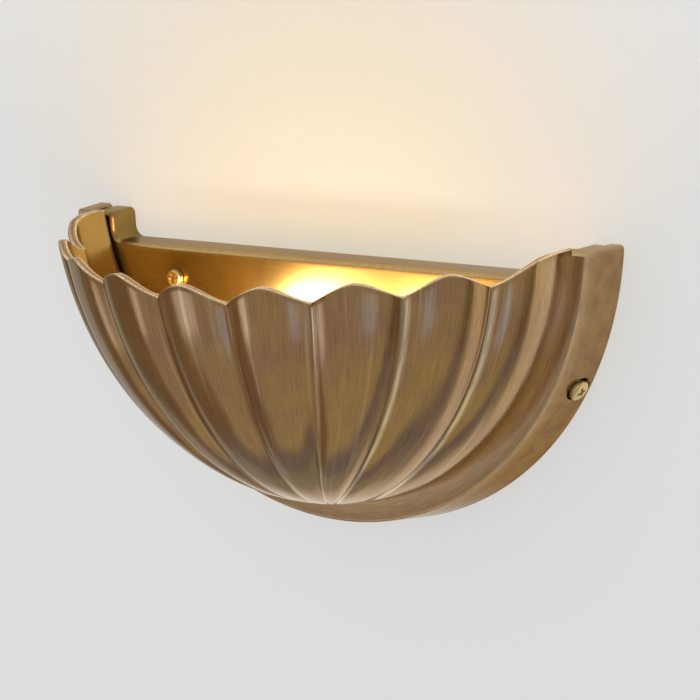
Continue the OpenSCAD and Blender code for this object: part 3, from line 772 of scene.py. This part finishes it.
def build_bowl():
    """The fluted bowl: one closed wall with a rounded lip, its ends let into the flange."""
    bm = bmesh.new()
    columns = bowl_columns()
    made = add_bowl_points(bm, columns)
    feet = {}
    for side, inset in ((0, 0.0), (1, BOWL_WALL)):
        for back in (ROOT_SINK, FLANGE_WALL / 2):
            feet[side, back] = bm.verts.new((0, -BAND_DEPTH + back, DISC_Z - BOWL_R + inset))
    skin_bowl(bm, [u for u, _ in columns], made, feet)
    bmesh.ops.recalc_face_normals(bm, faces=bm.faces)
    plane_cut(bm, (0, 0, TOP), (0, 0, 1))
    piece = finish_piece("bowl_casting", bm, "fixture", [AGED, INSIDE], sharp=50)
    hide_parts("shell")


# ---- Band ----


def band_profile():
    """The band's section as (radius, distance from the wall) points, with its front edge rounded."""
    flange_back = BAND_DEPTH - FLANGE_WALL
    bore = BOWL_R - BOWL_WALL + FLANGE_STEP
    front = band_r_at(BAND_DEPTH)
    turned = arc(front - BAND_ROUND, BAND_DEPTH - BAND_ROUND, BAND_ROUND, 0, 90, 8)
    outer = [(blend(BAND_R, turned[0][0], t), blend(0, turned[0][1], t)) for t in (0, 0.33, 0.66)]
    return outer + turned + [
        (blend(front, bore, 0.5), BAND_DEPTH),
        (bore, BAND_DEPTH),
        (bore, flange_back),
        (band_r_at(flange_back) - BAND_WALL, flange_back),
        (BAND_R - BAND_WALL, 0)]


def side_hole_cutter(side):
    """A drill for a side screw's hole, with a small countersink."""
    r, wide = SIDE_HOLE_D / 2, SIDE_HOLE_D / 2 + COUNTERSINK
    drill = lathe([(r, -14), (r, -0.4), (wide, 0.3), (wide, 6)], 64)
    return placed(drill, side_screw_place(side, band_r_at(SIDE_SCREW_OUT)))


def band_radius(place):
    """How far a place is from the band's axis."""
    return math.hypot(place.x, place.z - DISC_Z)


def band_painted_highlight(place):
    """Painted highlights along the flange's front edge, on the ears and, towards the bowl, on the flange."""
    out = -place.y
    past_edge = band_radius(place) - band_r_at(BAND_DEPTH) + 0.4 * BAND_ROUND
    at_edge = math.exp(-(past_edge ** 2 + (out - BAND_DEPTH + 0.4) ** 2) / 0.8)
    painted_highlight = 0.9 * at_edge + 0.5 * bump_at(TOP - place.z, 1.5)
    if out <= BAND_DEPTH - 0.5:
        return painted_highlight
    return max(painted_highlight, blend(0.35, 0.8, (BAND_R - band_radius(place)) / FLANGE_FACE - 0.3))


def band_recess(place):
    """Painted shade where the bowl meets the flange."""
    return 0.2 * bump_at(band_radius(place) - BOWL_R, 0.8) if place.y < -BAND_DEPTH + 1 else 0.0


def along_band(place):
    """Across and along the band, which the brush went round."""
    return band_radius(place) - place.y, math.atan2(place.x, DISC_Z - place.z) * 30


def build_band(steps=220):
    """The drafted band with its flange, from ear to ear."""
    profile = band_profile()
    rings = []
    for k in range(steps + 1):
        turn = math.radians(blend(*BAND_ENDS, k / steps))
        rings.append([(r * math.cos(turn), -out, DISC_Z - r * math.sin(turn)) for r, out in profile])
    bm = loft(rings)
    plane_cut(bm, (0, 0, TOP), (0, 0, 1))
    plane_cut(bm, (0, -BAND_DEPTH + EAR_BEVEL, TOP), (0, -1, 1))
    for turn in EAR_ROUND_TURNS:
        normal = Vector((0, math.cos(math.radians(turn)), math.sin(math.radians(turn))))
        centre = Vector((0, -EAR_ROUND, TOP - EAR_ROUND))
        plane_cut(bm, centre + normal * EAR_ROUND, normal)
    for side in (-1, 1):
        bm = carved(bm, side_hole_cutter(side))
    # painted highlights on the band's edges and flange, painted shade where the bowl meets it
    paint(bm, "painted_highlight", band_painted_highlight)
    paint(bm, "recess", band_recess)
    brush_along(bm, along_band)
    piece = finish_piece("band_casting", bm, "fixture", [AGED_BAND], sharp=35)
    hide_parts("shell")


# ---- Pan ----


def pan_outline(inset):
    """The pan's D shape with its two uprights, drawn inwards by inset."""
    r = PAN_R - inset
    top = TOP - UPRIGHT_DROP - inset
    bar = BAR_Z - inset
    inner = UPRIGHT_IN + inset
    fillet = UPRIGHT_FILLET + inset
    corner = CORNER_ROUND - min(inset, 1.6)
    rise = math.degrees(math.asin((DISC_Z - top) / r))
    right = arc(inner + corner, top - corner, corner, 90, 180, 6)
    down = arc(inner - fillet, bar + fillet, fillet, 0, -90, 8)
    left = [(-x, z) for x, z in reversed(right + down)]
    return arc(0, DISC_Z, r, 180 + rise, 360 - rise, 120) + right + down + left


def ring_at(inset, out):
    """The pan's outline at a distance from the wall."""
    return [(x, -out, z) for x, z in pan_outline(inset)]


def post(x, z, diameter, start, end):
    """A round post standing out of the wall between two distances from it."""
    return placed(rod(diameter, start, end), out_of_wall(x, 0, z))


def pan_shell():
    """The pan without its bosses and holes: rounded in front and hollow behind."""
    rings = [ring_at(PAN_WALL, PAN_BACK), ring_at(PAN_WALL, 0), ring_at(0, 0)]
    for inset, out in arc(PAN_ROUND, PAN_DEPTH - PAN_ROUND, PAN_ROUND, 180, 90, 7):
        rings.append(ring_at(inset, out))
    return loft(rings + [ring_at(PAN_ROUND + 1.2, PAN_DEPTH)])


def with_bosses(bm):
    """The pan with its pillars for the strap's and the earth's screws, and its side screws' bosses."""
    inside_wall = PAN_BACK + 0.5
    for side in (-1, 1):
        bm = carved(bm, post(side * PAN_SCREW_X, 0, BOSS_D, PAN_SEAT_OUT, inside_wall), "UNION")
        boss = rod(SIDE_BOSS_D, -8, -1.2, steps=48)
        bm = carved(bm, placed(boss, side_screw_place(side, PAN_R)), "UNION")
    return carved(bm, post(EARTH_X, EARTH_Z, BOSS_D, EARTH_SEAT_OUT, inside_wall), "UNION")


def with_holes(bm):
    """The pan with the holes for its screws, the terminal block's, the bracket's and the leads."""
    back, front = -1, PAN_DEPTH + 1
    drills = []
    for side in (-1, 1):
        drills += [
            post(side * PAN_SCREW_X, 0, SCREW_HOLE_D, back, front),
            post(side * BRACKET_SCREW_X, BRACKET_SCREW_Z, SCREW_HOLE_D, back, front),
            post(side * BLOCK_SCREW_X, EARTH_Z, BLOCK_HOLE_D, back, PAN_BACK + 2),
            placed(rod(SIDE_BORE_D, -12, 3), side_screw_place(side, PAN_R))]
    drills.append(post(0, LEAD_HOLE_Z, LEAD_HOLE_D, back, front))
    drills.append(post(EARTH_X, EARTH_Z, EARTH_HOLE_D, back, EARTH_SEAT_OUT + 6))
    for drill in drills:
        bm = carved(bm, drill)
    return bm


def pan_painted_highlight(place):
    """A painted highlight along the front edge of the top bar."""
    on_bar = abs(place.x) < UPRIGHT_IN + 2.5 and BAR_Z - 2.5 < place.z < BAR_Z + 1
    return 0.5 * bump_at(PAN_DEPTH - 1 + place.y, 0.8) if on_bar else 0.0


def pan_recess(place):
    """Painted shade: darker behind the bar's edge, and darkest on the uprights' front."""
    x, out, z = abs(place.x), -place.y, place.z
    if z > BAR_Z - 0.5 and x < UPRIGHT_IN and out < PAN_DEPTH - PAN_ROUND + 0.1:
        return 0.25
    inner = z > BAR_Z + 1 and x < UPRIGHT_IN + 2.5 and out > PAN_DEPTH - 3
    outer = z > BAR_Z and x > UPRIGHT_IN + 5.8 and out > PAN_DEPTH - 1.4
    return 0.6 if inner or outer else 0.0


def build_pan():
    """The closing pan, brushed from side to side."""
    bm = with_holes(with_bosses(pan_shell()))
    # a painted highlight on the bar's edge and painted shade on the bar and the uprights
    paint(bm, "painted_highlight", pan_painted_highlight)
    paint(bm, "recess", pan_recess)
    brush_along(bm, lambda place: (place.z - place.y, place.x))
    piece = finish_piece("closing_pan", bm, "fixture", [PAN_BRASS], sharp=35)
    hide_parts("back_pan")


# ---- Screws ----


def threaded_shank(diameter, length, pitch):
    """A shank below z = 0 with a helical thread and a pointed end."""
    around, per_pitch = 28, 8
    rows = int(length / pitch * per_pitch)
    rings = []
    for j in range(rows + 1):
        z = -length * j / rows
        ring = []
        for k in range(around):
            turn = math.tau * k / around
            share = (z / pitch + k / around) % 1.0
            ridge = 1 - abs(2 * share - 1)
            fade = min(1.0, -z / pitch, max(0.0, (length + z) / pitch))
            tapered = 0.5 if fade < 1 and z < -pitch else 0.0
            r = diameter / 2 - THREAD_DEPTH * ((1 - ridge) * fade + tapered)
            ring.append((r * math.cos(turn), r * math.sin(turn), z))
        rings.append(ring)
    return loft(rings)


def cross_recess(head_d, head_h):
    """The tapered cross of a driver."""
    half_l, half_w = 0.27 * head_d, 0.065 * head_d
    quarter = [(half_l, half_w), (half_w, half_w), (half_w, half_l)]
    cross = []
    for _ in range(4):
        cross += quarter
        quarter = [(-y, x) for x, y in quarter]
    levels = ((0.55, head_h * 0.4), (1.0, head_h), (1.0, head_h + 1))
    return loft([[(x * size, y * size, z) for x, y in cross] for size, z in levels])


def screw_head(head_d, head_h):
    """A pan head: a short straight edge under a shallow dome."""
    r = head_d / 2
    edge = head_h * 0.42
    profile = [(r - 0.15, 0), (r, 0.15), (r, edge)]
    for k in range(1, 9):
        turn = math.radians(90 * k / 8)
        profile.append((r * (0.72 + 0.28 * math.cos(turn)), edge + (head_h - edge) * 0.82 * math.sin(turn)))
    profile += [(r * 0.4, head_h * 0.98), (r * 0.05, head_h)]
    return carved(lathe(profile, 64), cross_recess(head_d, head_h))


def build_screw(name, node, place, diameter, length, pitch, head_d, head_h):
    """A screw that rides on its own body, whose name is its node's."""
    shank = placed(threaded_shank(diameter, length, pitch), Matrix.Translation((0, 0, 0.05)))
    bm = carved(screw_head(head_d, head_h), shank, "UNION")
    placed(bm, place @ Matrix.Rotation(math.radians(SCREW_TURN), 4, "Z"))
    piece = finish_piece(name, bm, node, [PALE_BRASS], sharp=38)
    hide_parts(node)


def build_screws():
    seat_r = band_r_at(SIDE_SCREW_OUT) + SIDE_HEAD_OUT - SIDE_SCREW["head_h"]
    for side, word in ((-1, "left"), (1, "right")):
        build_screw("band_screw_" + word, "side_screw_" + word, side_screw_place(side, seat_r), **SIDE_SCREW)
        seat = out_of_wall(side * PAN_SCREW_X, PAN_DEPTH + PAN_HEAD_GAP, 0)
        build_screw("strap_screw_" + word, "pan_screw_" + word, seat, **PAN_SCREW)


# ---- Lamp ----


def capsule(radius, bottom, top):
    """The section of a tube with a round crown, as (radius, height) points."""
    return [(radius, bottom)] + arc(0, top - radius, radius, 0, 90, 12)[:-1] + [(0.02, top)]


def build_envelope(centre, radius, foot, tip):
    """The lamp's thin glass."""
    inside = capsule(radius - GLASS_WALL, foot, tip - GLASS_WALL)
    bm = lathe(inside[::-1] + capsule(radius, foot, tip), 48)
    placed(bm, Matrix.Translation((centre.x, centre.y, 0)))
    glass = finish_piece("lamp_envelope", bm, "lamp", [lamp_glass_material()])
    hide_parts("lamp_glass")
    glass.visible_shadow = False


def add_light(name, kind, place, energy, colour):
    """A light that the camera doesn't see."""
    light = bpy.data.lights.new(name, kind)
    light.energy = energy
    light.color = colour
    source = new_object(name, light)
    source.location = place
    source.visible_camera = False
    return source


def lamp_light(name, kind, place, energy, falloff, colour, radius):
    """A small warm light that moves with the lamp."""
    source = add_light(name, kind, place * MM, energy, colour)
    source.data.shadow_soft_size = radius
    source.data.use_nodes = True
    tree = source.data.node_tree
    fading = put(tree, "LightFalloff", {"Strength": 1.0}).outputs[falloff]
    tree.links.new(fading, tree.nodes["Emission"].inputs["Strength"])
    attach(source, "lamp")
    return source


def build_lamp():
    """The lamp's glass and its lights, of which the wall's is returned."""
    low, high = (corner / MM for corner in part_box("lamp_glass"))
    centre = (low + high) / 2
    build_envelope(centre, (high.x - low.x) / 2, low.z, high.z)
    nodes["lamp_core"].visible_shadow = False
    for name, along, energy in GLOWS:
        place = centre + Vector((along, 0, 0))
        glow = lamp_light(name, "POINT", place, energy, "Quadratic", GLOW_COLOUR, 0.02)
        glow.visible_diffuse = False
    centre.z = blend(low.z, high.z, WASH_RISE)
    wash = lamp_light("wall_wash", "SPOT", centre, WASH_ENERGY, "Constant", WASH_COLOUR, 0.005)
    wash.visible_glossy = False
    wash.rotation_euler.x = math.pi
    wash.data.spot_size = math.radians(150)
    wash.data.spot_blend = 1.0
    return wash


# ---- Plain parts ----

PLAIN_PARTS = (
    (plated("zinc plate", (0.62, 0.63, 0.64, 1), (0.38, 0.38, 0.37, 1), 0.36),
     "wall_strap bracket_nuts holder_contacts holder_nuts lamp_pins terminal_fixings"),
    (PALE_BRASS,
     "lamp_bracket bracket_screws holder_screws terminal_tubes terminal_screws earth_screw earth_tag"),
    (fired_clay("steatite", (0.82, 0.78, 0.68, 1)), "holder_body lamp_cap terminal_block"),
    (lit_core_material(), "lamp_core"),
    (sleeving("black rubber", (0.03, 0.03, 0.03, 1)), "lead_grommet"),
    (sleeving("brown sleeve", (0.2, 0.07, 0.03, 1)), "lead_live"),
    (sleeving("blue sleeve", (0.04, 0.12, 0.34, 1)), "lead_neutral"),
    (sleeving("green sleeve", (0.16, 0.36, 0.03, 1)), "earth_lead"),
)


def finish_plain_part(node, material):
    """Gives a part of the construction its material."""
    if not node.material_slots:
        node.data.materials.append(material)
    for slot in node.material_slots:
        slot.material = material


# ---- Room ----

SURROUNDINGS = [  # left, right, low, high and softness in degrees, then a colour
    ((-110, -56, -52, 10, 3), (0.34, 0.26, 0.19, 1)),  # dark doorway
    ((-60, -30, -20, -15, 2), (0.4, 0.31, 0.23, 1)),  # dark lintel over the near window
    ((-54, -39, -30, -20, 1.5), (1.15, 1.25, 1.5, 1)),  # near window
    ((17, 45, -40, -27, 3), (0.7, 0.82, 1.3, 1)),  # sky in a far window
    ((-180, 180, -95, -78, 4), (0.36, 0.3, 0.26, 1)),  # shaded floor right below
]


def painted_shade_behind_band(tree, place):
    """A mask of the wall behind the band, where its glow is taken away as painted shade, which only shows
    through the band's holes.
    """
    radius = distance(tree, place, (0, 0, DISC_Z * MM), (1, 0, 1))
    z = put(tree, "SeparateXYZ", {"Vector": place}).outputs["Z"]
    inner, outer = (PAN_R - 3) * MM, (BAND_R - 4) * MM
    below_ears = put(tree, "MapRange", {"Value": z, "From Min": (TOP - 5) * MM, "From Max": (TOP - 7) * MM,
                                        "To Max": 0.88}).outputs["Result"]
    return product(tree, ramp(tree, radius, inner, inner + MM), ramp(tree, radius, outer + MM, outer),
                   below_ears)


def wall_paint():
    """A pale matt surface that is seen only from its front, with the lamp's glow partly painted on it as a
    warmer tint near the lamp.

    The brass mirrors it darker towards its lower left, as painted shade there.
    """
    material, tree, shader = new_material("pale wall")
    place = object_place(tree)
    # a painted warm glow of the lamp on the wall
    painted_glow = ramp(tree, distance(tree, place, (-0.01, 0, 0.07), (1, 1, 1.3)), 0.25, 0.02)
    # painted shade in the wall as the brass mirrors it, towards its lower left
    spot = put(tree, "SeparateXYZ", {"Vector": place}).outputs
    slanted = maths(tree, "MULTIPLY_ADD", spot["Z"], 0.4, spot["X"])
    lit = product(tree, ramp(tree, slanted, -0.27, -0.07), ramp(tree, spot["Z"], -0.28, -0.12))
    mirrored = maths(tree, "MULTIPLY_ADD", lit, 0.9, 0.5)
    ray = put(tree, "LightPath").outputs
    seen = maths(tree, "MAXIMUM", ray["Is Camera Ray"], product(tree, ray["Is Glossy Ray"], mirrored))
    seen = maths(tree, "MAXIMUM", seen, ray["Is Transmission Ray"])
    # painted shade: the wall's glow is taken away behind the band
    open_wall = maths(tree, "SUBTRACT", 1.0, painted_shade_behind_band(tree, place))
    fill(tree, shader, {
        "Base Color": (0.22, 0.22, 0.22, 1),
        "Roughness": 1.0,
        "Specular IOR Level": 0.0,
        "Emission Color": mix(tree, painted_glow, (0.59, 0.59, 0.59, 1), (0.56, 0.497, 0.362, 1)),
        "Emission Strength": product(tree, seen, open_wall)})
    clear = put(tree, "BsdfTransparent").outputs[0]
    behind = put(tree, "NewGeometry").outputs["Backfacing"]
    both = put(tree, "MixShader", {0: behind, 1: shader.outputs[0], 2: clear}).outputs[0]
    tree.links.new(both, tree.nodes["Material Output"].inputs["Surface"])
    return material


def stage_plane(name, loops, facing, material):
    """A flat stage piece: its first loop is its outline and any other is a hole."""
    bm = bmesh.new()
    edges = []
    for points in loops:
        verts = [bm.verts.new(p) for p in points]
        edges += [bm.edges.new((a, b)) for a, b in zip(verts, verts[1:] + verts[:1])]
    bmesh.ops.triangle_fill(bm, use_beauty=True, edges=edges, normal=facing)
    for face in bm.faces:
        face.normal_update()
        if face.normal.dot(Vector(facing)) < 0:
            face.normal_flip()
    plane = make_object(name, bm, [material])
    return plane


def build_room():
    """A pale wall that is open behind the pan, so that the back is lit, and a pale floor far below."""
    pale = wall_paint()
    corner = [(-WALL_REACH, WALL_BACK, FLOOR_Z), (WALL_REACH, WALL_BACK, FLOOR_Z)]
    top = [(WALL_REACH, WALL_BACK, WALL_TOP), (-WALL_REACH, WALL_BACK, WALL_TOP)]
    front = [(WALL_REACH, -FLOOR_REACH, FLOOR_Z), (-WALL_REACH, -FLOOR_REACH, FLOOR_Z)]
    opening = [(x, WALL_BACK, z) for x, z in pan_outline(PAN_WALL + 1)]
    wall = stage_plane("wall", [corner + top, opening], (0, -1, 0), pale)
    floor = stage_plane("floor", [corner + front], (0, 0, 1), pale)
    floor.visible_glossy = False
    return wall


def light_only(light, lit):
    """Lets a light fall on one piece only, though all the others still cast their shade."""
    receivers = bpy.data.collections.new(light.name + "_falls_on")
    receivers.objects.link(lit)
    light.light_linking.receiver_collection = receivers


def direction(azimuth, elevation):
    """The way to an azimuth and an elevation. Azimuth 0 is straight out of the wall, 90 its right."""
    level = math.cos(elevation)
    return Vector((math.sin(azimuth) * level, -math.cos(azimuth) * level, math.sin(elevation)))


def build_key_light():
    """A soft panel that faces the sconce from the upper left."""
    way = direction(KEY_AZIMUTH, KEY_ELEVATION)
    place = way * KEY_DISTANCE + Vector((0, -0.05, -0.03))
    panel = add_light("key panel", "AREA", place, KEY_ENERGY, KEY_COLOUR)
    panel.data.size = KEY_SIZE
    panel.rotation_mode = "QUATERNION"
    panel.rotation_quaternion = way.to_track_quat("Z", "Y")


def patch(tree, azimuth, elevation, left, right, low, high, soft):
    """A soft edged share of the surroundings between two azimuths and two elevations, in degrees."""
    return product(
        tree, ramp(tree, azimuth, left - soft, left + soft), ramp(tree, azimuth, right + soft, right - soft),
        ramp(tree, elevation, low - soft, low + soft), ramp(tree, elevation, high + soft, high - soft))


def build_surroundings():
    """Even pale light, which the metal mirrors as a room with windows and a doorway."""
    world = bpy.data.worlds.new("studio")
    bpy.context.scene.world = world
    world.use_nodes = True
    tree = world.node_tree
    way = put(tree, "SeparateXYZ", {"Vector": put(tree, "TexCoord").outputs["Generated"]}).outputs
    out = product(tree, way["Y"], -1.0)
    azimuth = maths(tree, "DEGREES", maths(tree, "ARCTAN2", way["X"], out))
    elevation = maths(tree, "DEGREES", maths(tree, "ARCSINE", way["Z"]))
    room = mix(tree, ramp(tree, elevation, -58, -30), (0.61, 0.585, 0.455, 1), (0.56, 0.535, 0.525, 1))
    room = mix(tree, ramp(tree, elevation, -15, 10), room, (0.74, 0.74, 0.75, 1))
    for limits, colour in SURROUNDINGS:
        room = mix(tree, patch(tree, azimuth, elevation, *limits), room, colour)
    skirting = mix(tree, ramp(tree, elevation, -40, -58), (0.28, 0.235, 0.185, 1), (0.33, 0.315, 0.4, 1))
    room = mix(tree, ramp(tree, out, 0.24, 0.11), room, skirting)
    even = put(tree, "Background", {"Color": (0.9, 0.9, 0.9, 1)}).outputs[0]
    polished = put(tree, "Background", {"Color": room}).outputs[0]
    mirrored = put(tree, "LightPath").outputs["Is Glossy Ray"]
    both = put(tree, "MixShader", {0: mirrored, 1: even, 2: polished}).outputs[0]
    tree.links.new(both, tree.nodes["World Output"].inputs["Surface"])


# ---- Camera ----

CAMERA_AZIMUTH, CAMERA_ELEVATION, CAMERA_ROLL = (math.radians(v) for v in (41.4855, 11.3831, -3.8482))
CAMERA_AIM = Vector((-5.712, 0, -29.459)) * MM
CAMERA_DISTANCE = 1.97064
LENS = 231.457
LENS_SHIFT = (-0.000894, 0.001157)


def build_camera():
    """A long lens from the upper right, tipped a little out of level."""
    back = direction(CAMERA_AZIMUTH, CAMERA_ELEVATION)
    right = Vector((math.cos(CAMERA_AZIMUTH), math.sin(CAMERA_AZIMUTH), 0))
    up = back.cross(right)
    across = right * math.cos(CAMERA_ROLL) + up * math.sin(CAMERA_ROLL)
    upward = up * math.cos(CAMERA_ROLL) - right * math.sin(CAMERA_ROLL)
    camera = new_object("camera", bpy.data.cameras.new("camera"))
    camera.data.sensor_width = 36.0
    camera.data.lens = LENS
    camera.data.shift_x, camera.data.shift_y = LENS_SHIFT
    camera.data.clip_end = 50.0
    camera.matrix_world = Matrix((across, upward, back)).transposed().to_4x4()
    camera.location = CAMERA_AIM + back * CAMERA_DISTANCE
    bpy.context.scene.camera = camera


build_camera()
build_bowl()
build_band()
build_pan()
build_screws()
wall_wash = build_lamp()
for material, names in PLAIN_PARTS:
    for name in names.split():
        finish_plain_part(nodes[name], material)
light_only(wall_wash, build_room())
build_key_light()
build_surroundings()
bpy.context.scene.view_settings.view_transform = "Standard"
